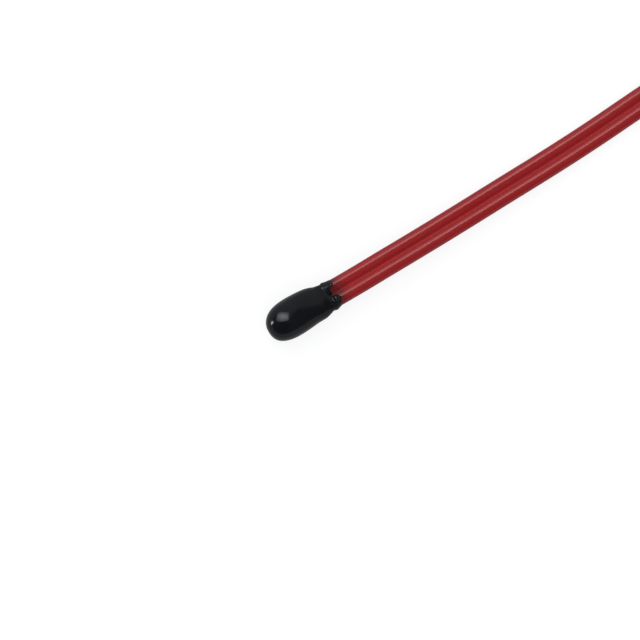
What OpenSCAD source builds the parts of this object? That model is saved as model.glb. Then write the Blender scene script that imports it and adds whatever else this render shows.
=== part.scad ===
// Bead thermistor: a ceramic chip soldered between two wires and dipped in epoxy, on a bonded twin lead.
// Millimetres. The bead lies on the floor with its axis along X: nose at -X, lead leaving at +X.
// The origin is on the floor under the middle of the bead. Left is +Y.

/* [Bead] */
// Diameter of the round barrel
bead_diameter = 3.0; // [2.8:0.1:4]
// Length from the nose tip to the mouth where the lead comes out
bead_length = 5.9; // [5.6:0.1:8]
// Length of the straight round stretch behind the domed nose
barrel_length = 1.65; // [1.2:0.05:2]
// How far the two collars reach along the cores past the shoulder
collar_length = 0.65; // [0.4:0.05:0.9]
// Thickness of a collar at its rim, over the flats of its core
rim_wall = 0.14; // [0.12:0.01:0.2]
// Radius of the rounding of a collar's rim, where the core comes out
rim_round = 0.25; // [0.2:0.01:0.3]
// Thickness of a collar between the shoulder and its rim
waist_wall = 0.09; // [0.08:0.01:0.11]
// Thickness of the neck beside the two cores
neck_side_wall = 0.1; // [0.08:0.01:0.2]
// Thickness of the neck above and below the two cores
neck_top_wall = 0.13; // [0.1:0.01:0.2]
// Gap between the collars where it starts at the shoulder
notch_floor = 0.24; // [0.16:0.02:0.32]
// Gap between the collars at the mouth
notch_mouth = 0.5; // [0.4:0.02:0.6]

/* [Lead] */
// Outside diameter of one insulated core
core_diameter = 1.05; // [0.95:0.05:1.15]
// Diameter of one tinned conductor
conductor_diameter = 0.38; // [0.3:0.01:0.45]
// Length from the mouth to the conductor tips
lead_length = 50; // [40:1:76]
// Length of insulation that is buried in the bead
buried_length = 1.95; // [1.6:0.05:2.2]
// Length over which the two cores are pulled apart
split_length = 7; // [6:0.5:10]
// Length of conductor left bare at each tip
strip_length = 5; // [4:0.5:8]
// Distance between the two tips
tip_spacing = 3; // [2.6:0.1:4]
// Straight insulated length before each bare tip
tail_straight = 1; // [0.5:0.1:2]
// Slit left between the cores where the pair is pulled apart
split_gap = 0.02; // [0.01:0.01:0.06]

/* [Chip] */
// Width and length of the square ceramic chip
chip_size = 0.8; // [0.7:0.05:1]
// Distance from the nose tip to the middle of the chip
chip_from_nose = 2.25; // [2:0.05:2.6]
// Thickness of the silver film on each face of the chip
electrode_thickness = 0.03; // [0.02:0.005:0.05]
// Thickness of the solder between a film and its conductor
solder_film = 0.02; // [0.01:0.005:0.04]
// Thickness of the solder round a conductor
solder_wall = 0.11; // [0.06:0.01:0.14]
// Length of each solder joint
solder_length = 0.6; // [0.4:0.05:0.7]
// Length of bare conductor that stands past the chip
wire_past_chip = 0.1; // [0.05:0.05:0.3]

/* [Hidden] */
$fn = 48;
LEFT = 1;
RIGHT = -1;

EPOXY = "#16161a";
RED = "#8a1d22";
TIN = "#c9cbce";
SILVER = "#dcdcd8";
CERAMIC = "#3b3a38";
SOLDER = "#a9abad";

// Stations along the bead's axis
bead_r = bead_diameter / 2;
nose_x = -bead_length / 2;
mouth_x = bead_length / 2;
dome_x = nose_x + bead_r;
shoulder_x = dome_x + barrel_length;
notch_x = mouth_x - collar_length;
cut_x = mouth_x - buried_length;

// The shoulder eases from the round barrel to a flat oval that just covers the two cores
core_r = core_diameter / 2;
neck_half_width = core_diameter + neck_side_wall;
neck_half_height = core_r + neck_top_wall;
shoulder_steps = 8;
shoulder_sides = 32;
shoulder_seat = 0.995;

// Each collar has a waist behind the shoulder and swells to a rounded rim at the mouth
waist_r = core_r + waist_wall;
rim_r = core_r + rim_wall;
rim_x = mouth_x - rim_round;

// Each core is an eight-sided tube, and the pair shares one flat
core_sides = 8;
corner_step = 360 / core_sides;
core_corner_r = core_r / cos(corner_step / 2);
tail_corner_r = (core_r - split_gap / 2) / cos(corner_step / 2);
strand_ease = 0.97;
conductor_r = conductor_diameter / 2;
strand_corner_r = conductor_r * strand_ease;

// The pair's path past the mouth: distance, drift to the left, share of the drop to the floor still to come
drape = [
    [0, 0, 1],
    [2, 0.01, 0.99],
    [4, 0.05, 0.95],
    [6, 0.08, 0.87],
    [8, 0.12, 0.76],
    [10, 0.17, 0.62],
    [12, 0.23, 0.47],
    [14, 0.3, 0.33],
    [16, 0.36, 0.22],
    [18, 0.42, 0.13],
    [20, 0.5, 0.06],
    [22, 0.6, 0.02],
    [24, 0.73, 0],
    [26, 0.88, 0],
    [29, 1.08, 0],
    [32, 1.22, 0],
    [35, 1.3, 0],
    [38, 1.32, 0],
    [80, 1.32, 0]
];
floor_clear = 0.005;
rest_z = core_r + floor_clear;
split_at = lead_length - strip_length - split_length;
tail_spread = split_length - tail_straight;
tail_steps = 6;
tail_root = 0.3;
ring_gap = 1;

drift_table = [for (p = drape) [p[0], p[1]]];
drop_table = [for (p = drape) [p[0], p[2]]];

function pair_point(d) = [
    mouth_x + d,
    lookup(d, drift_table),
    rest_z + (bead_r - rest_z) * lookup(d, drop_table)
];

pair_stations = concat(
    [-buried_length],
    [for (p = drape) if (p[0] < split_at - ring_gap) p[0]],
    [split_at]
);
pair_path = [for (d = pair_stations) pair_point(d)];
split_point = pair_point(split_at);
tail_end_x = mouth_x + lead_length - strip_length;
tip_x = mouth_x + lead_length;

function eased(t) = (1 - cos(180 * t)) / 2;

// Sideways distance of a core from the pair's middle, a length s past the start of the split
function tail_offset(s) = core_r + (tip_spacing / 2 - core_r) * eased(min(1, s / tail_spread));

function tail_point(side, s) = split_point + [s, side * tail_offset(s), 0];

tail_stations = concat([for (i = [0 : tail_steps]) tail_spread * i / tail_steps], [split_length]);

// A tail is rooted a little way inside the bonded pair
function tail_path(side) = concat(
    [pair_point(split_at - tail_root) + [0, side * core_r, 0]],
    [for (s = tail_stations) tail_point(side, s)]
);

function core_path(side) = concat(
    [for (p = pair_path) p + [0, side * core_r, 0]],
    [for (s = tail_stations) if (s > 0) tail_point(side, s)]
);

// Outlines across the lead, as [y, z] about the path
function corner(r, a) = [r * cos(a), r * sin(a)];

function octagon(r) = [for (i = [0 : core_sides - 1]) corner(r, corner_step * (i + 0.5))];

left_corners = [
    for (i = [0 : core_sides - 1]) [core_r, 0] + corner(core_corner_r, corner_step * (i + 0.5) - 180)
];
right_corners = [
    for (i = [1 : core_sides - 2]) [-core_r, 0] + corner(core_corner_r, corner_step * (i + 0.5))
];
pair_outline = concat(left_corners, right_corners);

// Chip stack across Y: ceramic, silver film, solder, conductor
chip_x = nose_x + chip_from_nose;
chip_thickness = core_diameter - conductor_diameter - 2 * (solder_film + electrode_thickness);
film_face = chip_thickness / 2 + electrode_thickness;
solder_r = conductor_r + solder_wall;
wire_end_x = chip_x - chip_size / 2 - wire_past_chip;

// Carries an outline along a path without turning it, and closes both ends
module swept(outline, path) {
    n = len(outline);
    last = len(path) - 1;
    points = [for (p = path) for (q = outline) [p[0], p[1] + q[0], p[2] + q[1]]];
    sides = [
        for (i = [0 : last - 1]) for (j = [0 : n - 1])
            [i * n + j, (i + 1) * n + j, (i + 1) * n + (j + 1) % n, i * n + (j + 1) % n]
    ];
    first_cap = [for (j = [0 : n - 1]) j];
    last_cap = concat([last * n], [for (j = [1 : n - 1]) last * n + n - j]);
    polyhedron(points = points, faces = concat(sides, [first_cap], [last_cap]), convexity = 6);
}

// A round bar along X
module bar(r, x0, x1, y, z) {
    translate([x0, y, z])
        rotate([0, 90, 0])
            cylinder(r = r, h = x1 - x0);
}

// Domed nose and barrel, turned as one profile
module nose_and_barrel() {
    translate([dome_x, 0, bead_r])
        rotate([0, 90, 0])
            rotate_extrude()
                union() {
                    intersection() {
                        circle(r = bead_r);
                        translate([0, -bead_r])
                            square([bead_r, bead_r]);
                    }
                    square([bead_r, barrel_length]);
                }
}

// Shoulder drawn down from the round barrel to the flat oval of the neck
module shoulder() {
    step = 360 / shoulder_sides;
    rings = [
        for (i = [0 : shoulder_steps])
            let (
                e = eased(i / shoulder_steps),
                w = bead_r * shoulder_seat * (1 - e) + neck_half_width * e,
                h = bead_r * shoulder_seat * (1 - e) + neck_half_height * e,
                x = shoulder_x + (notch_x - shoulder_x) * i / shoulder_steps
            )
            [for (j = [0 : shoulder_sides - 1]) [x, w * cos(step * j), bead_r + h * sin(step * j)]]
    ];
    n = shoulder_sides;
    points = [for (ring = rings) for (p = ring) p];
    sides = [
        for (i = [0 : shoulder_steps - 1]) for (j = [0 : n - 1]) for (half = [0 : 1])
            half == 0
                ? [i * n + j, (i + 1) * n + j, (i + 1) * n + (j + 1) % n]
                : [i * n + j, (i + 1) * n + (j + 1) % n, i * n + (j + 1) % n]
    ];
    first_cap = [for (j = [0 : n - 1]) j];
    last_cap = [for (j = [0 : n - 1]) shoulder_steps * n + n - 1 - j];
    polyhedron(points = points, faces = concat(sides, [first_cap], [last_cap]));
}

// Epoxy drawn a little way along one core
module collar(side) {
    bar(waist_r, cut_x, rim_x, side * core_r, bead_r);
    translate([rim_x, side * core_r, bead_r])
        rotate([0, 90, 0])
            rotate_extrude()
                translate([rim_r - rim_round, 0])
                    circle(r = rim_round);
}

// The gap between the two collars, opening towards the mouth
module notch() {
    past_x = mouth_x + collar_length;
    past_mouth = 2 * notch_mouth - notch_floor;
    linear_extrude(height = bead_diameter)
        polygon([
            [notch_x, -notch_floor / 2],
            [past_x, -past_mouth / 2],
            [past_x, past_mouth / 2],
            [notch_x, notch_floor / 2]
        ]);
}

module bead_outside() {
    nose_and_barrel();
    shoulder();
    difference() {
        union() {
            collar(LEFT);
            collar(RIGHT);
        }
        notch();
    }
}

module chip_block() {
    translate([chip_x - chip_size / 2, -chip_thickness / 2, bead_r - chip_size / 2])
        cube([chip_size, chip_thickness, chip_size]);
}

module film(side) {
    y0 = side > 0 ? chip_thickness / 2 : -film_face;
    translate([chip_x - chip_size / 2, y0, bead_r - chip_size / 2])
        cube([chip_size, electrode_thickness, chip_size]);
}

// Solder round a conductor, flat against the silver film
module solder_blank(side) {
    reach = 2 * solder_r;
    y0 = side > 0 ? film_face : -film_face - reach;
    intersection() {
        bar(solder_r, chip_x - solder_length / 2, chip_x + solder_length / 2, side * core_r, bead_r);
        translate([chip_x - chip_size, y0, bead_r - reach / 2])
            cube([2 * chip_size, reach, reach]);
    }
}

module bare_start(side) {
    bar(conductor_r, wire_end_x, cut_x, side * core_r, bead_r);
}

module strands(side) {
    swept(octagon(strand_corner_r), core_path(side));
}

module bare_tip(side) {
    bar(conductor_r, tail_end_x, tip_x, split_point[1] + side * tip_spacing / 2, split_point[2]);
}

module pair_solid() {
    swept(pair_outline, pair_path);
}

module tail_solid(side) {
    swept(octagon(tail_corner_r), tail_path(side));
}

module epoxy_bead() {
    color(EPOXY)
        difference() {
            bead_outside();
            pair_solid();
            chip_block();
            film(LEFT);
            film(RIGHT);
            solder_blank(LEFT);
            solder_blank(RIGHT);
            bare_start(LEFT);
            bare_start(RIGHT);
        }
}

module twin_jacket() {
    color(RED)
        difference() {
            union() {
                pair_solid();
                tail_solid(LEFT);
                tail_solid(RIGHT);
            }
            strands(LEFT);
            strands(RIGHT);
        }
}

module conductor(side) {
    color(TIN)
        union() {
            bare_start(side);
            strands(side);
            bare_tip(side);
        }
}

module conductor_left() {
    conductor(LEFT);
}

module conductor_right() {
    conductor(RIGHT);
}

module thermistor_chip() {
    color(CERAMIC)
        chip_block();
}

module chip_electrode_left() {
    color(SILVER)
        film(LEFT);
}

module chip_electrode_right() {
    color(SILVER)
        film(RIGHT);
}

module solder_joint(side) {
    color(SOLDER)
        difference() {
            solder_blank(side);
            bare_start(side);
        }
}

module solder_joint_left() {
    solder_joint(LEFT);
}

module solder_joint_right() {
    solder_joint(RIGHT);
}

epoxy_bead();
twin_jacket();
conductor_left();
conductor_right();
thermistor_chip();
chip_electrode_left();
chip_electrode_right();
solder_joint_left();
solder_joint_right();
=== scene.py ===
"""Bead thermistor: a dipped epoxy bead on a bonded twin lead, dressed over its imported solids."""
import logging
import math
from bisect import bisect_right
from dataclasses import dataclass, field
from enum import Enum
from typing import Sequence, Union

import bpy
from mathutils import Matrix, Vector


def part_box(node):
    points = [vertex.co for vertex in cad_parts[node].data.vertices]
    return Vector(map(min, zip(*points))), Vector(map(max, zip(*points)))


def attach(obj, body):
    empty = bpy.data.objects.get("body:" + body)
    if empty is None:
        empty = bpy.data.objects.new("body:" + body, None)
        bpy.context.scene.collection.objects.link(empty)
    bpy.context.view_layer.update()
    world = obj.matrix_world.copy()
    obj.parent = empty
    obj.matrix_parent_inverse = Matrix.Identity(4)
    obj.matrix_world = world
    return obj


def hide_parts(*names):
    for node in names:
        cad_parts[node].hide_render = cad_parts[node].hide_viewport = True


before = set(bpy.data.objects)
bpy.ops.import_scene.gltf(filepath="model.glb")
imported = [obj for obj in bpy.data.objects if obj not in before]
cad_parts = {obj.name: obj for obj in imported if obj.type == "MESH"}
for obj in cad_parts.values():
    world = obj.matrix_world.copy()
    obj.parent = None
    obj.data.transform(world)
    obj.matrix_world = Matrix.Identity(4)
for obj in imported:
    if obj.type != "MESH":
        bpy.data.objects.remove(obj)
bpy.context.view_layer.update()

MM = 0.001
BODY = "root"
# The range that most of a noise lies in
NOISE_SPAN = (0.3, 0.7)

Pair = tuple[float, float]
Triple = tuple[float, float, float]
Colour = Triple
Socket = bpy.types.NodeSocket
Piece = bpy.types.Object
Material = bpy.types.Material
Value = Union[float, Sequence[float], Socket]

log = logging.getLogger("bead_thermistor")


class Side(Enum):
    """The two halves of the part, as seen looking from the bead along the lead."""

    LEFT = 1
    RIGHT = -1


class Slot(Enum):
    """The record's material slots of the pieces modelled anew."""

    EPOXY = "black_epoxy"
    INSULATION = "red_insulation"
    STRANDS = "tinned_strands"


class Reach(Enum):
    """Which pieces a lamp lights."""

    ONLY = "INCLUDE"
    ALL_BUT = "EXCLUDE"


class Graph:
    """The node tree of one material or world."""

    def __init__(self, owner: Union[Material, bpy.types.World]) -> None:
        """Start with an empty tree.

        Args:
            owner: The material or world.
        """
        owner.use_nodes = True
        self.owner = owner
        self.tree = owner.node_tree
        self.tree.nodes.clear()

    def add(self, kind: str, inputs: dict[Union[str, int], Value], **settings: str) -> bpy.types.Node:
        """Add a node.

        Args:
            kind: The node's type.
            inputs: Sockets or constants for its inputs, by name or index.
            **settings: Its own properties.

        Returns:
            The node.
        """
        node = self.tree.nodes.new(kind)
        for key, setting in settings.items():
            setattr(node, key, setting)
        for socket, value in inputs.items():
            if isinstance(value, Socket):
                self.tree.links.new(value, node.inputs[socket])
            else:
                node.inputs[socket].default_value = value
        return node

    def end(self, shader: Socket, kind: str = "ShaderNodeOutputMaterial") -> bpy.types.ID:
        """Lead a shader to the output and hand over the material or world."""
        self.add(kind, {"Surface": shader})
        return self.owner

    def surface(self, inputs: dict[str, Value]) -> Material:
        """End the tree in a Principled shader and hand over the material."""
        return self.end(self.add("ShaderNodeBsdfPrincipled", inputs).outputs["BSDF"])

    def place(self, kind: str = "Object") -> Socket:
        """Give coordinates; the piece's own are in metres."""
        return self.add("ShaderNodeTexCoord", {}).outputs[kind]

    def along(self, attribute: str) -> Socket:
        """Give a vector that the mesh carries point by point."""
        return self.add("ShaderNodeAttribute", {}, attribute_name=attribute).outputs["Vector"]

    def axis(self, vector: Socket, name: str) -> Socket:
        """Give one axis of a vector."""
        return self.add("ShaderNodeSeparateXYZ", {0: vector}).outputs[name]

    def stretched(self, vector: Socket, scale: Triple) -> Socket:
        """Give a vector scaled axis by axis."""
        return self.add("ShaderNodeMapping", {"Vector": vector, "Scale": scale}).outputs["Vector"]

    def noise(self, vector: Socket, scale: float, detail: float) -> Socket:
        """Give cloudy noise round 0.5, with so many features per unit and octaves of finer noise."""
        return self.add("ShaderNodeTexNoise", {"Vector": vector, "Scale": scale, "Detail": detail}).outputs["Fac"]

    def cells(self, vector: Socket, scale: float) -> Socket:
        """Give the distance to the nearest of scattered points."""
        return self.add("ShaderNodeTexVoronoi", {"Vector": vector, "Scale": scale}).outputs["Distance"]

    def span(self, value: Socket, source: Pair, target: Pair = (0.0, 1.0)) -> Socket:
        """Carry a value from one range to another, eased and clamped."""
        inputs = dict(enumerate((value, *source, *target)))
        return self.add("ShaderNodeMapRange", inputs, interpolation_type="SMOOTHSTEP").outputs[0]

    def maths(self, operation: str, a: Value, b: Value = 0.0) -> Socket:
        """Join two values by one sum."""
        return self.add("ShaderNodeMath", {0: a, 1: b}, operation=operation).outputs[0]

    def tint(self, factor: Socket, low: Union[Colour, Socket], high: Union[Colour, Socket]) -> Socket:
        """Mix two colours: the first where the factor is 0, the second where it is 1."""
        a, b = (colour if isinstance(colour, Socket) else (*colour, 1.0) for colour in (low, high))
        return self.add("ShaderNodeMix", {0: factor, 6: a, 7: b}, data_type="RGBA").outputs[2]

    def bump(self, height: Socket, relief: Pair, under: Union[Socket, None] = None) -> Socket:
        """Raise the surface by a height.

        Args:
            height: The height, 0 to 1.
            relief: What a height of 1 stands for, in metres, and the share of it that is used.
            under: A normal that it is laid over.

        Returns:
            The new normal.
        """
        inputs: dict[Union[str, int], Value] = {"Height": height, "Distance": relief[0], "Strength": relief[1]}
        if under is not None:
            inputs["Normal"] = under
        return self.add("ShaderNodeBump", inputs).outputs["Normal"]


@dataclass(frozen=True)
class EpoxyFinish:
    """Glossy black dip coat, crusty where it runs out along the cores."""

    deep: Colour = (0.0030, 0.0030, 0.0042)
    pale: Colour = (0.0048, 0.0049, 0.0066)
    crust: Colour = (0.0075, 0.0085, 0.0090)
    mote: Colour = (0.055, 0.058, 0.058)
    gloss: Pair = (0.09, 0.14)
    crust_gloss: Pair = (0.10, 0.24)
    crust_reach: Pair = (1.95 * MM, 2.35 * MM)
    ior: float = 1.33
    # Features to the metre
    cloud_scale: float = 700.0
    crumb_scale: float = 5200.0
    mote_scale: float = 4200.0
    patch_scale: float = 2600.0
    gloss_scale: float = 1500.0
    swell_scale: float = 420.0
    peel_scale: float = 2400.0
    # Depth and share used
    swell_relief: Pair = (0.02 * MM, 0.35)
    peel_relief: Pair = (0.002 * MM, 0.35)
    grit_relief: Pair = (0.025 * MM, 0.7)

    def material(self) -> Material:
        """Make the coat.

        Returns:
            The material.
        """
        g = Graph(bpy.data.materials.new("dipped_epoxy"))
        place = g.place()
        cloud = g.noise(place, self.cloud_scale, 3.0)
        crumb = g.noise(place, self.crumb_scale, 4.0)
        crusty = g.span(g.axis(place, "X"), self.crust_reach)
        tone = g.tint(g.span(cloud, (0.35, 0.65)), self.deep, self.pale)
        tone = g.tint(g.maths("MULTIPLY", crusty, g.span(crumb, (0.42, 0.62))), tone, self.crust)
        motes = g.span(g.cells(place, self.mote_scale), (0.05, 0.085), (0.55, 0.0))
        patches = g.span(g.noise(place, self.patch_scale, 1.0), (0.56, 0.62))
        tone = g.tint(g.maths("MULTIPLY", motes, patches), tone, self.mote)
        smooth = g.span(g.noise(place, self.gloss_scale, 3.0), NOISE_SPAN, self.gloss)
        rough = g.span(crumb, NOISE_SPAN, self.crust_gloss)
        mix = g.add("ShaderNodeMix", {0: crusty, 2: smooth, 3: rough})
        normal = g.bump(g.noise(place, self.swell_scale, 1.0), self.swell_relief)
        normal = g.bump(g.noise(place, self.peel_scale, 2.0), self.peel_relief, normal)
        normal = g.bump(g.maths("MULTIPLY", crumb, crusty), self.grit_relief, normal)
        return g.surface({"Base Color": tone, "Roughness": mix.outputs[0], "Normal": normal, "IOR": self.ior})


@dataclass(frozen=True)
class VinylFinish:
    """Dark red extruded insulation with faint die lines along it; darker near the bead, partly an epoxy smear and
    partly painted shade, and with a painted brighter red in the groove between the cores.
    """

    deep: Colour = (0.288, 0.0030, 0.0048)
    pale: Colour = (0.324, 0.0044, 0.0064)
    # Brighter red in the groove between the cores: painted light that lifts the groove's shade
    web: Colour = (0.335, 0.0028, 0.0048)
    chalk: Colour = (0.335, 0.0180, 0.0190)
    # Darker red near the bead: partly a thin epoxy smear, partly painted shade; in the seam there it is all painted
    # shade
    smear_and_shade: Colour = (0.060, 0.0030, 0.0045)
    smear_and_shade_reach: Pair = (2.65 * MM, 4.20 * MM)
    smear_scale: float = 2600.0
    gloss: Pair = (0.19, 0.23)
    seam_dulling: float = 0.45
    ior: float = 1.47
    # Features to the millimetre along the lead, and to a radius round it
    die_lines: Triple = (0.10, 7.0, 7.0)
    mottle: Triple = (1.1, 1.3, 1.3)
    dust: Triple = (9.0, 9.0, 9.0)
    # Depth and share used
    wave_relief: Pair = (0.0008 * MM, 0.4)
    score_relief: Pair = (0.0006 * MM, 0.4)

    def material(self) -> Material:
        """Make the insulation's skin.

        Returns:
            The material.
        """
        g = Graph(bpy.data.materials.new("red_vinyl"))
        grain = g.along(TwinLead.GRAIN)
        outward = g.axis(grain, "Y")
        lines = g.noise(g.stretched(grain, self.die_lines), 1.0, 3.0)
        mottle = g.noise(g.stretched(grain, self.mottle), 1.0, 3.0)
        dust = g.noise(g.stretched(grain, self.dust), 1.0, 2.0)
        tone = g.tint(g.span(lines, (0.32, 0.68)), self.deep, self.pale)
        # Painted light: a brighter red in the groove between the cores lifts its shade
        tone = g.tint(g.span(outward, (-0.3, -0.85)), tone, self.web)
        tone = g.tint(g.span(dust, (0.60, 0.78), (0.0, 0.25)), tone, self.chalk)
        place = g.place()
        # Darker near the bead: patches of a thin epoxy smear over painted shade at half strength all round
        near = g.span(g.axis(place, "X"), self.smear_and_shade_reach, (1.0, 0.0))
        film = g.span(g.noise(place, self.smear_scale, 3.0), (0.36, 0.60), (0.50, 1.0))
        # Painted shade: the seam next to the bead is darkened in full
        film = g.maths("MAXIMUM", film, g.span(outward, (-0.70, -0.86)))
        tone = g.tint(g.maths("MULTIPLY", near, film), tone, self.smear_and_shade)
        seam = g.span(outward, (-0.45, -0.85), (0.0, self.seam_dulling))
        rough = g.maths("ADD", g.span(mottle, NOISE_SPAN, self.gloss), seam)
        normal = g.bump(lines, self.score_relief, g.bump(mottle, self.wave_relief))
        return g.surface({"Base Color": tone, "Roughness": rough, "Normal": normal, "IOR": self.ior})


@dataclass(frozen=True)
class MetalFinish:
    """A soft bright metal with a mottled, slightly rippled skin."""

    name: str
    dark: Colour
    bright: Colour
    gloss: Pair
    feature: float
    ripple: float
    ripple_share: float = 0.5
    swell_ratio: float = 3.0
    fine_ratio: float = 5.0

    def material(self) -> Material:
        """Make the metal.

        Returns:
            The material.
        """
        g = Graph(bpy.data.materials.new(self.name))
        place = g.place()
        cloud = g.noise(place, 1.0 / self.feature, 4.0)
        fine = g.noise(place, self.fine_ratio / self.feature, 2.0)
        tone = g.tint(g.span(cloud, (0.32, 0.68)), self.dark, self.bright)
        rough = g.span(fine, NOISE_SPAN, self.gloss)
        swell = g.bump(cloud, (self.swell_ratio * self.ripple, self.ripple_share))
        normal = g.bump(fine, (self.ripple, self.ripple_share), swell)
        return g.surface({"Base Color": tone, "Roughness": rough, "Normal": normal, "Metallic": 1.0})


@dataclass(frozen=True)
class CeramicFinish:
    """Sintered oxide: dark grey grains with open pores."""

    pore: Colour = (0.018, 0.017, 0.016)
    grain: Colour = (0.062, 0.058, 0.054)
    gloss: Pair = (0.55, 0.8)
    grain_size: float = 0.02 * MM
    cloud_ratio: float = 0.15
    # Depth and share used
    pore_relief: Pair = (0.004 * MM, 0.8)

    def material(self) -> Material:
        """Make the ceramic.

        Returns:
            The material.
        """
        g = Graph(bpy.data.materials.new("sintered_oxide"))
        place = g.place()
        grains = g.cells(place, 1.0 / self.grain_size)
        cloud = g.noise(place, self.cloud_ratio / self.grain_size, 3.0)
        tone = g.tint(g.span(grains, (0.15, 0.6)), self.pore, self.grain)
        rough = g.span(cloud, NOISE_SPAN, self.gloss)
        return g.surface({"Base Color": tone, "Roughness": rough, "Normal": g.bump(grains, self.pore_relief)})


TIN = MetalFinish("tinned_copper", (0.50, 0.49, 0.48), (0.66, 0.66, 0.67), (0.34, 0.48), 0.35 * MM, 0.0006 * MM)
FIRED_SILVER = MetalFinish("fired_silver", (0.60, 0.58, 0.54), (0.80, 0.79, 0.76), (0.42, 0.60), 0.06 * MM, 0.002 * MM)
SOLDER = MetalFinish("reflowed_solder", (0.36, 0.37, 0.38), (0.52, 0.53, 0.55), (0.24, 0.42), 0.15 * MM, 0.003 * MM)


def dress(piece: Piece, material: Material) -> None:
    """Give a piece its finish and carry it on the part's one body.

    Args:
        piece: The finished mesh.
        material: What it is made of.
    """
    piece.data.materials.clear()
    piece.data.materials.append(material)
    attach(piece, BODY)


def face_outward() -> None:
    """Turn the faces of the piece in edit mode outward, and leave edit mode."""
    bpy.ops.mesh.select_all(action="SELECT")
    bpy.ops.mesh.normals_make_consistent(inside=False)
    bpy.ops.object.mode_set(mode="OBJECT")


def apply_modifier(piece: Piece, name: str, kind: str, **settings: object) -> None:
    """Add a modifier to the active piece and apply it.

    Args:
        piece: The active object.
        name: The modifier's name.
        kind: Its type.
        **settings: Its properties.
    """
    modifier = piece.modifiers.new(name, kind)
    for key, value in settings.items():
        setattr(modifier, key, value)
    bpy.ops.object.modifier_apply(modifier=modifier.name)


def eased(t: float) -> float:
    """Ease from 0 to 1, clamped."""
    t = min(1.0, max(0.0, t))
    return t * t * (3 - 2 * t)


@dataclass(frozen=True)
class SmoothTable:
    """Values given at stations, read on a smooth curve between them."""

    rows: tuple[tuple[float, ...], ...]

    def _slope(self, i: int, column: int) -> float:
        """Slope of one column at a row; level at both ends."""
        if i in (0, len(self.rows) - 1):
            return 0.0
        before, after = self.rows[i - 1], self.rows[i + 1]
        return (after[column] - before[column]) / (after[0] - before[0])

    def at(self, x: float, column: int = 1) -> float:
        """Read one column.

        Args:
            x: The station.
            column: Which value of the rows.

        Returns:
            The value there.
        """
        rows = self.rows
        x = min(max(x, rows[0][0]), rows[-1][0])
        i = min(bisect_right([row[0] for row in rows], x) - 1, len(rows) - 2)
        reach = rows[i + 1][0] - rows[i][0]
        t = (x - rows[i][0]) / reach
        return (
            rows[i][column] * (2 * t**3 - 3 * t**2 + 1)
            + self._slope(i, column) * reach * (t**3 - 2 * t**2 + t)
            + rows[i + 1][column] * (3 * t**2 - 2 * t**3)
            + self._slope(i + 1, column) * reach * (t**3 - t**2)
        )


class Skin:
    """Collects the points and faces of one closed cord mesh, each point with its grain vector."""

    def __init__(self) -> None:
        """Start with nothing."""
        self.points: list[Vector] = []
        self.grain: list[Triple] = []
        self.faces: list[tuple[int, ...]] = []

    def ring(self, points: Sequence[Vector], grain: Sequence[Triple]) -> list[int]:
        """Add points.

        Args:
            points: Where they are.
            grain: Length along the cord and direction round its core, point by point.

        Returns:
            Their indices.
        """
        first = len(self.points)
        self.points.extend(points)
        self.grain.extend(grain)
        return list(range(first, len(self.points)))

    def bridge(self, rows: Sequence[Sequence[int]], closed: bool = True) -> None:
        """Join each row of points to the next by quads.

        Args:
            rows: The rows, all of as many points.
            closed: True if they are loops.
        """
        for a, b in zip(rows, rows[1:]):
            for j in range(len(a) if closed else len(a) - 1):
                k = (j + 1) % len(a)
                self.faces.append((a[j], b[j], b[k], a[k]))

    def fan(self, loop: Sequence[int], tip: int) -> None:
        """Close a loop onto one point, its tip."""
        for j in range(len(loop)):
            self.faces.append((loop[j], loop[(j + 1) % len(loop)], tip))

    def build(self, name: str, grain_name: str, crease: float) -> Piece:
        """Make the mesh object.

        Args:
            name: The piece's name.
            grain_name: The attribute that holds the grain vectors.
            crease: Angle past which an edge stays sharp, in radians.

        Returns:
            The piece, at the origin.
        """
        mesh = bpy.data.meshes.new(name)
        mesh.from_pydata(self.points, [], self.faces)
        attribute = mesh.attributes.new(grain_name, "FLOAT_VECTOR", "POINT")
        attribute.data.foreach_set("vector", [c for row in self.grain for c in row])
        mesh.update()
        piece = bpy.data.objects.new(name, mesh)
        bpy.context.scene.collection.objects.link(piece)
        bpy.ops.object.select_all(action="DESELECT")
        piece.select_set(True)
        bpy.context.view_layer.objects.active = piece
        bpy.ops.object.mode_set(mode="EDIT")
        face_outward()
        bpy.ops.object.shade_smooth_by_angle(angle=crease)
        return piece


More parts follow.
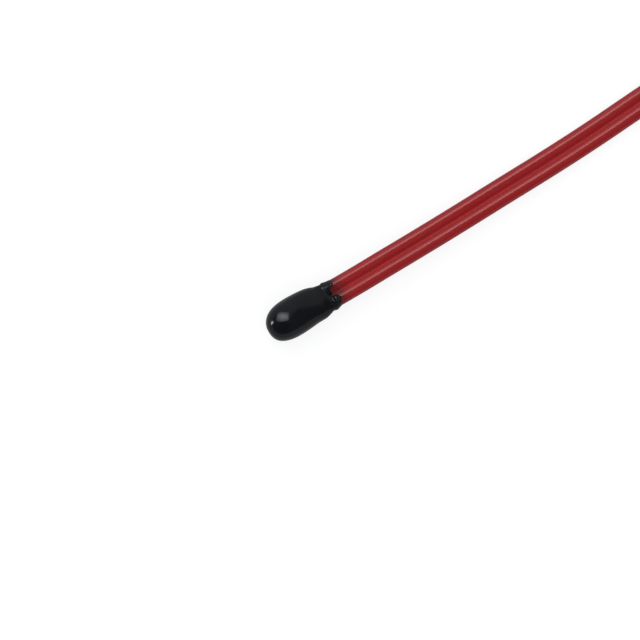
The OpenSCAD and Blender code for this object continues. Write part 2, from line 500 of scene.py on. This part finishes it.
@dataclass(frozen=True)
class LeadRoute:
    """The pair's way from the bead to its two tips, point for point as the solids have it."""

    mouth_x: float = 2.95 * MM
    bead_r: float = 1.5 * MM
    core_r: float = 0.525 * MM
    floor_clear: float = 0.005 * MM
    buried_length: float = 1.95 * MM
    lead_length: float = 50.0 * MM
    strip_length: float = 5.0 * MM
    split_length: float = 7.0 * MM
    tail_straight: float = 1.0 * MM
    tip_spacing: float = 3.0 * MM
    # Half the step that a direction is measured over
    probe: float = 0.05 * MM
    # Distance past the mouth, drift to the left, share of the drop to the floor still to come
    drape: SmoothTable = SmoothTable((
        (0.000, 0.00000, 1.00), (0.002, 0.00001, 0.99), (0.004, 0.00005, 0.95), (0.006, 0.00008, 0.87),
        (0.008, 0.00012, 0.76), (0.010, 0.00017, 0.62), (0.012, 0.00023, 0.47), (0.014, 0.00030, 0.33),
        (0.016, 0.00036, 0.22), (0.018, 0.00042, 0.13), (0.020, 0.00050, 0.06), (0.022, 0.00060, 0.02),
        (0.024, 0.00073, 0.00), (0.026, 0.00088, 0.00), (0.029, 0.00108, 0.00), (0.032, 0.00122, 0.00),
        (0.035, 0.00130, 0.00), (0.038, 0.00132, 0.00), (0.080, 0.00132, 0.00),
    ))

    @property
    def split_at(self) -> float:
        """Distance past the mouth where the pair is pulled apart."""
        return self.lead_length - self.strip_length - self.split_length

    @property
    def insulation_end(self) -> float:
        """Distance past the mouth where the insulation is cut back."""
        return self.lead_length - self.strip_length

    def spread(self, d: float) -> float:
        """Give how far a core's middle is from the pair's."""
        t = min(1.0, max(0.0, (d - self.split_at) / (self.split_length - self.tail_straight)))
        return self.core_r + (self.tip_spacing / 2 - self.core_r) * (1 - math.cos(math.pi * t)) / 2

    def at(self, d: float, side: Union[Side, None] = None) -> Vector:
        """Give a point of the path.

        Args:
            d: Distance past the mouth; less than 0 inside the bead.
            side: Which core, or None for the pair.

        Returns:
            The middle of the core or of the pair.
        """
        rest = self.core_r + self.floor_clear
        height = rest + (self.bead_r - rest) * self.drape.at(d, 2)
        middle = Vector((self.mouth_x + d, self.drape.at(d, 1), height))
        return middle if side is None else middle + Vector((0.0, side.value * self.spread(d), 0.0))

    def ring(self, d: float, offsets: Sequence[Pair], side: Union[Side, None] = None) -> list[Vector]:
        """Give points about the path.

        Args:
            d: Distance past the mouth.
            offsets: How far each is to the left and up, square to the path.
            side: Which core, or None for the pair.

        Returns:
            The points.
        """
        forward = (self.at(d + self.probe, side) - self.at(d - self.probe, side)).normalized()
        left = (Vector((0, 1, 0)) - forward * forward.y).normalized()
        up = forward.cross(left)
        middle = self.at(d, side)
        return [middle + left * y + up * z for y, z in offsets]


@dataclass
class TwinLead:
    """Two tubes of insulation bonded side by side, pulled apart and cut back at the far end."""

    GRAIN = "lead_grain"

    route: LeadRoute
    finish: VinylFinish = field(default_factory=VinylFinish)
    web_round: float = 0.17 * MM
    bore_r: float = 0.192 * MM
    split_gap: float = 0.02 * MM
    end_round: float = 0.03 * MM
    ring_step: float = 0.5 * MM
    tail_step: float = 0.35 * MM
    tear_length: float = 2.2 * MM
    arc_points: int = 29
    fillet_points: int = 3
    web_points: int = 3
    # Millimetres, so that the grain of the two cores differs
    grain_shift: float = 40.0
    crease: float = math.radians(50)

    def _half_outline(self) -> list[Pair]:
        """Outline of one core of the bonded pair, from the top of the web round to its underside.

        Returns:
            Points (outward, up) from the pair's middle.
        """
        r, k = self.route.core_r, self.web_round
        lean = math.acos(r / (r + k))
        hollow = (r + k) * math.sin(lean)
        fillet = []
        for i in range(self.fillet_points):
            a = -math.pi / 2 + (math.pi / 2 - lean) * i / self.fillet_points
            fillet.append((k * math.cos(a), hollow + k * math.sin(a)))
        arc = []
        for i in range(self.arc_points):
            a = (math.pi - lean) * (1 - 2 * i / (self.arc_points - 1))
            arc.append((r + r * math.cos(a), r * math.sin(a)))
        return fillet + arc + [(y, -z) for y, z in reversed(fillet)]

    def _web_line(self, reach: float) -> list[Pair]:
        """Points up the middle of the web, from its underside to its top."""
        count = self.web_points + 1
        return [(0.0, reach * (2 * i / count - 1)) for i in range(1, count)]

    def _angles(self, loop: Sequence[Pair]) -> list[float]:
        """Direction of each point of a core's loop from that core's middle."""
        return [math.atan2(z, y - self.route.core_r) for y, z in loop]

    def _grain(self, d: float, angles: Sequence[float], side: Side) -> list[Triple]:
        """Grain vectors of a ring: millimetres along, then the direction round the core."""
        shift = 0.0 if side is Side.LEFT else self.grain_shift
        return [(d / MM + shift, math.cos(a), math.sin(a)) for a in angles]

    def _stations(self) -> tuple[list[float], list[float]]:
        """Distances past the mouth of the pair's rings and of the tails' rings.

        Returns:
            The two lists; the last of the first is the start of the split.
        """
        route = self.route
        bonded = route.split_at + route.buried_length
        count = round(bonded / self.ring_step)
        pair = [bonded * i / count - route.buried_length for i in range(count + 1)]
        count = round(route.split_length / self.tail_step)
        end = route.split_length - self.end_round
        tails = [route.split_at + end * (i + 1) / count for i in range(count)]
        return pair, tails

    def _pair_row(self, skin: Skin, d: float, outline: Sequence[Pair], side: Side) -> list[int]:
        """Add points of one half of the bonded pair."""
        points = self.route.ring(d, [(side.value * y, z) for y, z in outline])
        return skin.ring(points, self._grain(d, self._angles(outline), side))

    def _round_row(self, skin: Skin, d: float, radius: float, angles: Sequence[float], side: Side) -> list[int]:
        """Add a round ring about one core."""
        offsets = [(side.value * radius * math.cos(a), radius * math.sin(a)) for a in angles]
        return skin.ring(self.route.ring(d, offsets, side), self._grain(d, angles, side))

    def _tail_row(self, skin: Skin, d: float, loop: Sequence[Pair], side: Side) -> list[int]:
        """Add a ring of one tail: the torn half of the pair, easing to a round tube.

        Args:
            skin: The mesh that it joins.
            d: Distance past the mouth.
            loop: The torn outline, from the pair's middle.
            side: Which tail.

        Returns:
            The row of points.
        """
        route = self.route
        ease = eased((d - route.split_at) / self.tear_length)
        radius = route.core_r - self.split_gap / 2
        angles = self._angles(loop)
        offsets = []
        for (y, z), a in zip(loop, angles):
            out = (y - route.core_r) * (1 - ease) + radius * math.cos(a) * ease
            offsets.append((side.value * out, z * (1 - ease) + radius * math.sin(a) * ease))
        return skin.ring(route.ring(d, offsets, side), self._grain(d, angles, side))

    def build(self) -> Piece:
        """Make the insulation as one closed skin with both bores.

        Returns:
            The piece.
        """
        skin = Skin()
        half = self._half_outline()
        web = self._web_line(half[0][1])
        loop = half + web
        angles = self._angles(loop)
        pair, tails = self._stations()
        cut = self.route.insulation_end
        rim = self.route.core_r - self.split_gap / 2 - self.end_round
        rows: dict[Side, list[list[int]]] = {side: [] for side in Side}
        for d in pair:
            left_row = self._pair_row(skin, d, half, Side.LEFT)
            inner = self._pair_row(skin, d, half[1:-1], Side.RIGHT)
            rows[Side.LEFT].append(left_row)
            rows[Side.RIGHT].append([left_row[0], *inner, left_row[-1]])
        webs = [self._pair_row(skin, d, web, Side.LEFT) for d in (pair[0], pair[-1])]
        for side in Side:
            skin.bridge(rows[side], closed=False)
            bore = [self._round_row(skin, d, self.bore_r, angles, side) for d in (*pair, *tails[:-1], cut)]
            skin.bridge(bore)
            skin.bridge([rows[side][0] + webs[0], bore[0]])
            wall = [rows[side][-1] + webs[1]]
            wall += [self._tail_row(skin, d, loop, side) for d in tails]
            wall += [self._round_row(skin, cut, rim, angles, side), bore[-1]]
            skin.bridge(wall)
        piece = skin.build("twin_insulation", self.GRAIN, self.crease)
        dress(piece, self.finish.material())
        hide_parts("twin_jacket")
        log.info("%s: %d faces, %d rings", piece.name, len(piece.data.polygons), len(pair) + len(tails))
        return piece

    def declare(self) -> None:
        route = self.route
        pair, tails = self._stations()
        path = [route.at(d) for d in (*pair, *tails, route.insulation_end)]


@dataclass
class TinnedConductor:
    """Seven twisted strands, tinned together, from the chip to one bare tip."""

    side: Side
    route: LeadRoute
    start_x: float
    finish: MetalFinish = TIN
    radius: float = 0.19 * MM
    strand_r: float = 0.0635 * MM
    tin_fill: float = 0.163 * MM
    lay: float = 3.8 * MM
    ring_step: float = 0.2 * MM
    dome: float = 0.14 * MM
    dome_rings: int = 5
    dome_power: float = 2.4
    crevice_round: float = 0.01 * MM
    points: int = 48
    crease: float = math.radians(60)

    def _edge(self, angle: float) -> float:
        """Distance from the middle to the outside of the bundle.

        Args:
            angle: Direction about the bundle, from the middle of a strand.

        Returns:
            The distance.
        """
        sector = math.pi / 3
        off = (angle + sector / 2) % sector - sector / 2
        hub = self.radius - self.strand_r
        inside = self.strand_r**2 - (hub * math.sin(off)) ** 2
        strand = hub * math.cos(off) + math.sqrt(max(0.0, inside))
        soft = self.crevice_round
        filled = soft * math.log(math.exp(strand / soft) + math.exp(self.tin_fill / soft))
        return filled - soft * math.log(1 + math.exp((self.tin_fill - self.radius) / soft))

    def _ring(self, d: float, share: float) -> list[Vector]:
        """Ring of points round the bundle.

        Args:
            d: Distance past the mouth.
            share: Part of the full thickness.

        Returns:
            The points.
        """
        turn = 2 * math.pi * d / self.lay
        offsets = []
        for j in range(self.points):
            a = 2 * math.pi * j / self.points
            r = self._edge(a) * share
            offsets.append((r * math.cos(a + turn), r * math.sin(a + turn)))
        return self.route.ring(d, offsets, self.side)

    def build(self) -> Piece:
        """Make the conductor as one closed skin.

        Returns:
            The piece.
        """
        skin = Skin()
        first = self.start_x - self.route.mouth_x
        last = self.route.lead_length
        count = round((last - self.dome - first) / self.ring_step)
        shape = [(first + (last - self.dome - first) * i / count, 1.0) for i in range(count + 1)]
        for i in range(1, self.dome_rings):
            t = i / self.dome_rings
            shape.append((last - self.dome * (1 - t), math.sqrt(1 - t**self.dome_power)))
        rows = []
        for d, share in shape:
            grain = [(d / MM, 0.0, 0.0)] * self.points
            rows.append(skin.ring(self._ring(d, share), grain))
        skin.bridge(rows)
        for row, d in ((rows[0], first), (rows[-1], last)):
            tip = skin.ring([self.route.at(d, self.side)], [(d / MM, 0.0, 0.0)])
            skin.fan(row, tip[0])
        node = f"conductor_{self.side.name.lower()}"
        piece = skin.build(f"stranded_{node}", TwinLead.GRAIN, self.crease)
        dress(piece, self.finish.material())
        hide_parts(node)
        log.info("%s: %d faces", piece.name, len(piece.data.polygons))
        return piece


@dataclass(frozen=True)
class Station:
    """One oval of a loft along X, in millimetres on the bench."""

    x: float
    y: float
    half_width: float
    half_height: float


@dataclass(frozen=True)
class Collar:
    """Epoxy drawn along one core, in millimetres on the bench."""

    side: Side
    # Distance from the mouth and radius about the core
    profile: tuple[Pair, ...]
    # Lines that it is cut back to, from its inner side round its end, as pairs of (x, y)
    edges: tuple[tuple[Pair, Pair], ...]
    # Drips on it: distance from the mouth, lean outward from the top, radius, rise off the insulation
    drips: tuple[tuple[float, float, float, float], ...]


COLLARS = (
    Collar(
        Side.LEFT,
        profile=(
            (-1.30, 0.575), (-1.00, 0.585), (-0.86, 0.594), (-0.75, 0.624), (-0.65, 0.642), (-0.53, 0.636),
            (-0.42, 0.614), (-0.30, 0.584), (-0.19, 0.562), (-0.07, 0.550), (0.03, 0.540), (0.07, 0.500),
        ),
        edges=(((2.54, 0.03), (2.78, 0.58)),),
        drips=((-0.03, 0.27, 0.17, 0.08), (-0.02, 0.85, 0.15, 0.07), (-0.38, 0.30, 0.20, 0.17)),
    ),
    Collar(
        Side.RIGHT,
        profile=(
            (-1.30, 0.575), (-1.00, 0.588), (-0.83, 0.598), (-0.72, 0.632), (-0.61, 0.654), (-0.48, 0.644),
            (-0.38, 0.620), (-0.27, 0.588), (-0.15, 0.566), (-0.03, 0.552), (0.08, 0.542), (0.13, 0.500),
        ),
        edges=(((2.56, -0.06), (2.98, -0.38)), ((3.12, -0.42), (2.80, -1.10))),
        drips=((-0.20, -0.30, 0.29, 0.24), (0.06, -0.05, 0.16, 0.07), (-0.15, 0.60, 0.15, 0.07)),
    ),
)


@dataclass
class DippedBead:
    """The epoxy body: domed nose, barrel, shoulder and a crusty collar round each core.

    It is modelled in millimetres, then set on the floor and brought to metres.
    """

    nose_x: float
    mouth_x: float
    bead_r: float
    core_r: float
    finish: EpoxyFinish = field(default_factory=EpoxyFinish)
    widest: float = 2.2
    nose_power: float = 2.4
    # Distance from the nose tip and half-width, from the widest place to the neck
    rear: SmoothTable = SmoothTable((
        (2.20, 1.500), (2.60, 1.488), (3.00, 1.466), (3.45, 1.432), (3.68, 1.408), (3.90, 1.386), (4.12, 1.360),
        (4.35, 1.310), (4.58, 1.236), (4.80, 1.180), (4.98, 1.136), (5.12, 1.050), (5.20, 0.950), (5.27, 0.840),
    ))
    # Distance from the nose tip and half-height, from the barrel to the neck
    crown: SmoothTable = SmoothTable((
        (2.70, 1.500), (3.10, 1.470), (3.50, 1.385), (3.90, 1.245), (4.30, 1.060), (4.70, 0.840), (4.98, 0.740),
        (5.12, 0.680), (5.20, 0.610), (5.27, 0.520),
    ))
    # Distance from the nose tip and how far the middle lies to the left
    bow: SmoothTable = SmoothTable((
        (0.00, -0.050), (0.30, -0.048), (0.75, -0.010), (1.90, 0.032), (3.30, 0.066), (3.80, 0.058),
        (4.20, 0.012), (4.55, -0.034), (4.85, -0.016), (5.10, 0.000),
    ))
    collars: tuple[Collar, ...] = COLLARS
    # Epoxy over the web between the collars: distance from the mouth, half-width and half-height
    saddle: tuple[Triple, ...] = (
        (-1.20, 0.60, 0.56), (-0.90, 0.55, 0.52), (-0.65, 0.42, 0.46), (-0.48, 0.30, 0.41), (-0.40, 0.20, 0.34),
    )
    # Distances from the nose tip of the body's ovals, from the neck on
    body_ovals: tuple[float, ...] = (
        5.27, 5.20, 5.12, 4.98, 4.8, 4.6, 4.4, 4.2, 4.0, 3.8, 3.6, 3.4, 3.2, 3.0, 2.8, 2.6, 2.4, 2.2, 2.0, 1.8, 1.6,
        1.4, 1.2, 1.0, 0.85, 0.7, 0.56, 0.44, 0.34, 0.26, 0.19, 0.13, 0.085, 0.05, 0.025, 0.01, 0.002,
    )
    sides: int = 64
    collar_sides: int = 32
    drip_sides: int = 16
    voxel: float = 0.045
    # Share and rounds of the two smoothings
    settle: tuple[float, int] = (0.5, 6)
    soften: tuple[float, int] = (0.4, 2)
    # Size and height of the skin's lumps
    dip_waves: Pair = (1.9, 0.03)
    crust_lumps: Pair = (0.24, 0.09)
    crust_grit: Pair = (0.11, 0.05)
    lump_octaves: int = 2
    crust_reach: Pair = (1.95, 2.4)
    # The most that a collar rises over its core's middle
    collar_crown: float = 0.60

    def _body_oval(self, u: float) -> Station:
        """Give one oval of the body.

        Args:
            u: Distance from the nose tip.

        Returns:
            The oval.
        """
        if u < self.widest:
            p = self.nose_power
            width = height = self.bead_r * (1 - ((self.widest - u) / self.widest) ** p) ** (1 / p)
        else:
            width, height = self.rear.at(u), self.crown.at(u)
        return Station(self.nose_x + u, self.bow.at(u), width, height)

    def _loft(self, name: str, stations: Sequence[Station], sides: int) -> Piece:
        """Extrude a filled circle from oval to oval.

        Args:
            name: The object's name.
            stations: The ovals in order.
            sides: Points round each oval.

        Returns:
            The closed loft.
        """
        start = stations[0]
        bpy.ops.object.select_all(action="DESELECT")
        bpy.ops.mesh.primitive_circle_add(
            vertices=sides, radius=1.0, fill_type="NGON", location=(0, 0, 0), rotation=(0, math.pi / 2, 0)
        )
        piece = bpy.context.active_object
        piece.name = name
        piece.location = (start.x, start.y, self.bead_r)
        bpy.ops.object.transform_apply(location=True, rotation=True, scale=True)
        bpy.ops.object.mode_set(mode="EDIT")
        bpy.ops.mesh.select_all(action="SELECT")
        bpy.ops.transform.resize(
            value=(1, start.half_width, start.half_height), center_override=(start.x, start.y, self.bead_r)
        )
        for a, b in zip(stations, stations[1:]):
            bpy.ops.mesh.extrude_region_move(TRANSFORM_OT_translate={"value": (b.x - a.x, b.y - a.y, 0)})
            bpy.ops.transform.resize(
                value=(1, b.half_width / a.half_width, b.half_height / a.half_height),
                center_override=(b.x, b.y, self.bead_r),
            )
        face_outward()
        return piece

    def _sleeve(self, collar: Collar) -> Piece:
        """Loft a collar round its core and cut it back.

        Args:
            collar: Its shape.

        Returns:
            The collar without its drips.
        """
        sign = collar.side.value
        y = sign * self.core_r
        ovals = [Station(self.mouth_x + x, y, r, min(r, self.collar_crown)) for x, r in collar.profile]
        piece = self._loft(f"collar_{collar.side.name.lower()}", ovals, self.collar_sides)
        bpy.ops.object.mode_set(mode="EDIT")
        for (x0, y0), (x1, y1) in collar.edges:
            bpy.ops.mesh.select_all(action="SELECT")
            bpy.ops.mesh.bisect(
                plane_co=(x0, y0, self.bead_r),
                plane_no=Vector((y0 - y1, x1 - x0, 0.0)).normalized() * sign,
                use_fill=True,
                clear_inner=True,
            )
        face_outward()
        return piece

    def _drip(self, side: Side, x: float, lean: float, radius: float, rise: float) -> Piece:
        """Hang a drop of epoxy on one collar.

        Args:
            side: Which core.
            x: Distance from the mouth.
            lean: Angle outward from the top of the core, in radians.
            radius: The drop's radius.
            rise: How far it stands off the insulation.

        Returns:
            The drop.
        """
        reach = self.core_r + rise - radius
        y = side.value * (self.core_r + reach * math.sin(lean))
        bpy.ops.object.select_all(action="DESELECT")
        bpy.ops.mesh.primitive_uv_sphere_add(
            segments=self.drip_sides,
            ring_count=self.drip_sides // 2,
            radius=radius,
            location=(self.mouth_x + x, y, self.bead_r + reach * math.cos(lean)),
        )
        bpy.ops.object.transform_apply(location=True)
        return bpy.context.active_object

    def _weigh_crust(self, piece: Piece) -> str:
        """Group the points where the epoxy runs out along the cores.

        Args:
            piece: The bead.

        Returns:
            The group's name.
        """
        low, high = self.crust_reach
        group = piece.vertex_groups.new(name="crust")
        for v in piece.data.vertices:
            weight = eased((v.co.x - low) / (high - low))
            if weight > 0.0:
                group.add([v.index], weight, "REPLACE")
        return group.name

    def _lumps(self, piece: Piece, name: str, size: float, depth: float, group: str = "") -> None:
        """Push the skin in and out by cloudy noise.

        Args:
            piece: The bead.
            name: The noise's name.
            size: Size of its lumps.
            depth: Their height.
            group: The points that it acts on, or all.
        """
        clouds = bpy.data.textures.new(name, "CLOUDS")
        clouds.noise_scale = size
        clouds.noise_depth = self.lump_octaves
        apply_modifier(
            piece, name, "DISPLACE", texture=clouds, strength=depth, mid_level=0.5, texture_coords="LOCAL",
            vertex_group=group,
        )

    def build(self) -> Piece:
        """Make the bead.

        Returns:
            The piece.
        """
        runs = [self._sleeve(collar) for collar in self.collars]
        runs += [self._drip(collar.side, *drip) for collar in self.collars for drip in collar.drips]
        ovals = [Station(self.mouth_x + x, 0.0, w, h) for x, w, h in self.saddle]
        runs.append(self._loft("saddle", ovals, self.collar_sides))
        piece = self._loft("dipped_bead", [self._body_oval(u) for u in self.body_ovals], self.sides)
        for run in runs:
            run.select_set(True)
        bpy.ops.object.join()
        apply_modifier(piece, "flow", "REMESH", mode="VOXEL", voxel_size=self.voxel, adaptivity=0.0)
        apply_modifier(piece, "settle", "SMOOTH", factor=self.settle[0], iterations=self.settle[1])
        self._lumps(piece, "dip_waves", *self.dip_waves)
        crust = self._weigh_crust(piece)
        self._lumps(piece, "crust_lumps", *self.crust_lumps, crust)
        self._lumps(piece, "crust_grit", *self.crust_grit, crust)
        apply_modifier(piece, "soften", "SMOOTH", factor=self.soften[0], iterations=self.soften[1])
        piece.location.z = -min(v.co.z for v in piece.data.vertices) * MM
        piece.scale = (MM, MM, MM)
        bpy.ops.object.transform_apply(location=True, rotation=True, scale=True)
        bpy.ops.object.shade_smooth()
        dress(piece, self.finish.material())
        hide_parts("epoxy_bead")
        log.info("%s: %d faces", piece.name, len(piece.data.polygons))
        return piece


@dataclass
class ChipStack:
    """The ceramic chip with its films and solder joints, inside the epoxy."""

    ceramic: CeramicFinish = field(default_factory=CeramicFinish)
    film: MetalFinish = FIRED_SILVER
    joint: MetalFinish = SOLDER

    def dress(self) -> None:
        """Give each of its solids its finish."""
        finishes = (
            (("thermistor_chip",), self.ceramic.material()),
            (("chip_electrode_left", "chip_electrode_right"), self.film.material()),
            (("solder_joint_left", "solder_joint_right"), self.joint.material()),
        )
        for names, material in finishes:
            for name in names:
                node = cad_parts[name]
                node.data.materials.clear()
                node.data.materials.append(material)
                log.info("%s: %s", name, material.name)


@dataclass
class Studio:
    """Camera, floor, lamps and surrounding light."""

    heading: float = math.radians(-30)
    target: Triple = (0.84 * MM, -1.19 * MM, 1.5 * MM)
    picture_width: float = 48 * MM
    lens: float = 135.0
    sensor: float = 36.0
    clip_start: float = 0.01
    floor_size: float = 4.0
    floor_drop: float = 0.01 * MM
    floor_albedo: float = 0.8
    shadow_share: float = 0.25
    floor_glow: float = 0.8
    mirror_share: float = 0.45
    mirror_glow: float = 0.1
    # Where the window's corners are, from the bead
    window_corners: tuple[Triple, ...] = (
        (-0.127, 0.406, 0.111), (-0.011, 0.165, 0.261), (-0.060, -0.037, 0.373), (-0.215, 0.147, 0.192),
    )
    window_radiance: float = 7.0
    window_tint: Colour = (0.94, 1.0, 1.05)
    window_edge: float = 0.42
    # Across and up the pane: where it is brightest and how far from there it is dimmest
    window_fades: tuple[Pair, Pair] = ((0.62, 0.70), (0.50, 0.50))
    top_height: float = 0.5
    top_size: Pair = (0.5, 1.6)
    top_radiance: float = 1.45
    strip_distance: float = 0.45
    strip_length: float = 0.8
    strip_tint: Colour = (1.0, 0.96, 0.90)
    # Strips of light along the lead: lean from overhead, width and radiance
    strips: tuple[Triple, ...] = ((math.radians(31), 0.20, 3.0), (math.radians(60), 0.29, 0.40))
    lamp_direction: Triple = (-0.87, 0.49, 0.095)
    lamp_turn: float = math.radians(19)
    lamp_distance: float = 0.30
    lamp_size: Pair = (0.13, 0.055)
    lamp_radiance: float = 12.0
    room_tint: Colour = (0.95, 0.985, 1.05)
    bright_side: Triple = (0.60, 0.80, 0.0)
    bright_edge: Pair = (0.12, 0.60)
    bright_level: float = 0.65
    dark_level: float = 0.2
    low_band: Pair = (0.30, 0.10)
    low_level: float = 0.65

    @property
    def right(self) -> Vector:
        """The picture's right, in the part's frame."""
        return Vector((math.cos(self.heading), math.sin(self.heading), 0.0))

    def camera(self) -> None:
        """Look straight down on the part with a long lens."""
        data = bpy.data.cameras.new("camera")
        data.lens = self.lens
        data.sensor_width = self.sensor
        data.clip_start = self.clip_start
        camera = bpy.data.objects.new("camera", data)
        bpy.context.scene.collection.objects.link(camera)
        distance = self.picture_width * self.lens / self.sensor
        camera.location = Vector(self.target) + Vector((0.0, 0.0, distance))
        camera.rotation_euler = (0.0, 0.0, self.heading)
        bpy.context.scene.camera = camera
        log.info("camera: %.0f mm above the part", distance / MM)

    @staticmethod
    def _receivers(name: str, reach: Reach, pieces: Sequence[Piece]) -> bpy.types.Collection:
        """Group pieces for a lamp that lights only them, or all but them.

        Args:
            name: The group's name.
            reach: Which of the two.
            pieces: The pieces.

        Returns:
            The group.
        """
        group = bpy.data.collections.new(name)
        for piece in pieces:
            group.objects.link(piece)
        for entry in group.collection_objects:
            entry.light_linking.link_state = reach.value
        return group

    def window(self, lead: Piece) -> None:
        """Hang a bright pane above the bead; its shape is what the dome mirrors.

        Args:
            lead: The insulation, which has lamps of its own.
        """
        bpy.ops.object.select_all(action="DESELECT")
        bpy.ops.mesh.primitive_plane_add(size=1.0, location=(0, 0, 0))
        pane = bpy.context.active_object
        pane.name = "window"
        for corner, place in zip(pane.data.polygons[0].vertices, self.window_corners):
            pane.data.vertices[corner].co = place
        g = Graph(bpy.data.materials.new("window_light"))
        where = g.place("UV")
        level: Value = self.window_radiance
        for name, (middle, reach) in zip("XY", self.window_fades):
            away = g.maths("ABSOLUTE", g.maths("SUBTRACT", g.axis(where, name), middle))
            level = g.maths("MULTIPLY", level, g.span(away, (0.0, reach), (1.0, self.window_edge)))
        light = g.add("ShaderNodeEmission", {"Color": (*self.window_tint, 1.0), "Strength": level})
        pane.data.materials.append(g.end(light.outputs[0]))
        pane.visible_camera = False
        pane.visible_diffuse = False
        pane.light_linking.receiver_collection = self._receivers("window_receivers", Reach.ALL_BUT, [lead])
        log.info("window: %d corners", len(self.window_corners))

    @staticmethod
    def _area_lamp(name: str, size: Pair, radiance: float) -> Piece:
        """Make a rectangular lamp that the camera doesn't see.

        Args:
            name: The lamp's name.
            size: Its width and height.
            radiance: How bright its face is.

        Returns:
            The lamp, at the origin and facing down.
        """
        data = bpy.data.lights.new(name, "AREA")
        data.shape = "RECTANGLE"
        data.size, data.size_y = size
        data.energy = radiance * math.pi * data.size * data.size_y
        lamp = bpy.data.objects.new(name, data)
        bpy.context.scene.collection.objects.link(lamp)
        lamp.visible_camera = False
        log.info("%s: %.0f by %.0f mm", name, data.size / MM, data.size_y / MM)
        return lamp

    def top_lamp(self) -> None:
        """Hang a broad soft lamp overhead that no surface mirrors."""
        lamp = self._area_lamp("top_lamp", self.top_size, self.top_radiance)
        lamp.location = (0.0, 0.0, self.top_height)
        lamp.visible_glossy = False

    def strip_lamps(self, lead: Piece) -> None:
        """Hang long narrow lamps beside the lead, for the lines of light along each core.

        Args:
            lead: The insulation.
        """
        group = self._receivers("strip_receivers", Reach.ONLY, [lead])
        for i, (lean, width, radiance) in enumerate(self.strips):
            lamp = self._area_lamp(f"strip_lamp_{i}", (self.strip_length, width), radiance)
            lamp.data.color = self.strip_tint
            lamp.location = Vector((0.0, math.sin(lean), math.cos(lean))) * self.strip_distance
            lamp.rotation_euler = (-lean, 0.0, 0.0)
            lamp.visible_diffuse = False
            lamp.light_linking.receiver_collection = group

    def nose_lamp(self, lead: Sequence[Piece]) -> None:
        """Stand a small lamp low in front of the nose; the lead takes its light but doesn't mirror it.

        Args:
            lead: The insulation and the conductors.
        """
        back = Vector(self.lamp_direction).normalized()
        across = (self.right - back * self.right.dot(back)).normalized()
        facing = Matrix((across, back.cross(across), back)).transposed().to_4x4()
        turn = Matrix.Rotation(self.lamp_turn, 4, "Z")
        for name, reach in (("nose_lamp", Reach.ALL_BUT), ("nose_fill", Reach.ONLY)):
            lamp = self._area_lamp(name, self.lamp_size, self.lamp_radiance)
            lamp.matrix_world = Matrix.Translation(back * self.lamp_distance) @ facing @ turn
            lamp.visible_glossy = reach is Reach.ALL_BUT
            lamp.light_linking.receiver_collection = self._receivers(f"{name}_receivers", reach, lead)

    def surroundings(self) -> None:
        """Light the part from all round, more from one side."""
        world = bpy.data.worlds.new("room")
        bpy.context.scene.world = world
        g = Graph(world)
        way = g.place("Generated")
        facing = g.add("ShaderNodeVectorMath", {0: way, 1: self.bright_side}, operation="DOT_PRODUCT")
        side = g.span(facing.outputs["Value"], self.bright_edge, (self.dark_level, self.bright_level))
        low = g.span(g.axis(way, "Z"), self.low_band, (0.0, self.low_level))
        sky = {"Color": (*self.room_tint, 1.0), "Strength": g.maths("MAXIMUM", side, low)}
        g.end(g.add("ShaderNodeBackground", sky).outputs[0], "ShaderNodeOutputWorld")
        log.info("room: %.2f on its bright side, %.2f on its dark side", self.bright_level, self.dark_level)

    def floor(self) -> None:
        """Lay a plain pale floor that keeps the shadow, white to the camera and darker in reflections."""
        bpy.ops.object.select_all(action="DESELECT")
        bpy.ops.mesh.primitive_plane_add(size=self.floor_size, location=(0, 0, -self.floor_drop))
        floor = bpy.context.active_object
        floor.name = "floor"
        bpy.ops.object.transform_apply(location=True)
        g = Graph(bpy.data.materials.new("pale_floor"))
        path = g.add("ShaderNodeLightPath", {})
        mirrored = g.maths("MAXIMUM", path.outputs["Is Glossy Ray"], path.outputs["Is Transmission Ray"])
        last = g.add("ShaderNodeBsdfDiffuse", {"Color": (*(self.floor_albedo,) * 3, 1.0)}).outputs[0]
        for seen, share, glow in (
            (mirrored, self.mirror_share, self.mirror_glow),
            (path.outputs["Is Camera Ray"], self.shadow_share, self.floor_glow),
        ):
            pale = g.add("ShaderNodeBsdfDiffuse", {"Color": (*(share,) * 3, 1.0)})
            light = g.add("ShaderNodeEmission", {"Strength": glow})
            white = g.add("ShaderNodeAddShader", {0: pale.outputs[0], 1: light.outputs[0]})
            last = g.add("ShaderNodeMixShader", {"Fac": seen, 1: last, 2: white.outputs[0]}).outputs[0]
        floor.data.materials.append(g.end(last))
        log.info("floor: %.0f m", self.floor_size)


def main() -> None:
    """Build the part piece by piece, then light it."""
    logging.basicConfig(level=logging.INFO, format="%(name)s: %(message)s")
    bpy.context.scene.view_settings.view_transform = "Standard"
    studio = Studio()
    studio.camera()

    bead_low, bead_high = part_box("epoxy_bead")
    wire_low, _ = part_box("conductor_left")
    route = LeadRoute(bead_r=(bead_high.z - bead_low.z) / 2)
    lead = TwinLead(route)
    insulation = lead.build()
    conductors = [TinnedConductor(side, route, start_x=wire_low.x).build() for side in Side]
    lead.declare()

    DippedBead(
        nose_x=bead_low.x / MM,
        mouth_x=route.mouth_x / MM,
        bead_r=route.bead_r / MM,
        core_r=route.core_r / MM,
    ).build()
    ChipStack().dress()

    studio.window(insulation)
    studio.top_lamp()
    studio.strip_lamps(insulation)
    studio.nose_lamp([insulation, *conductors])
    studio.surroundings()
    studio.floor()


if __name__ == "__main__":
    main()
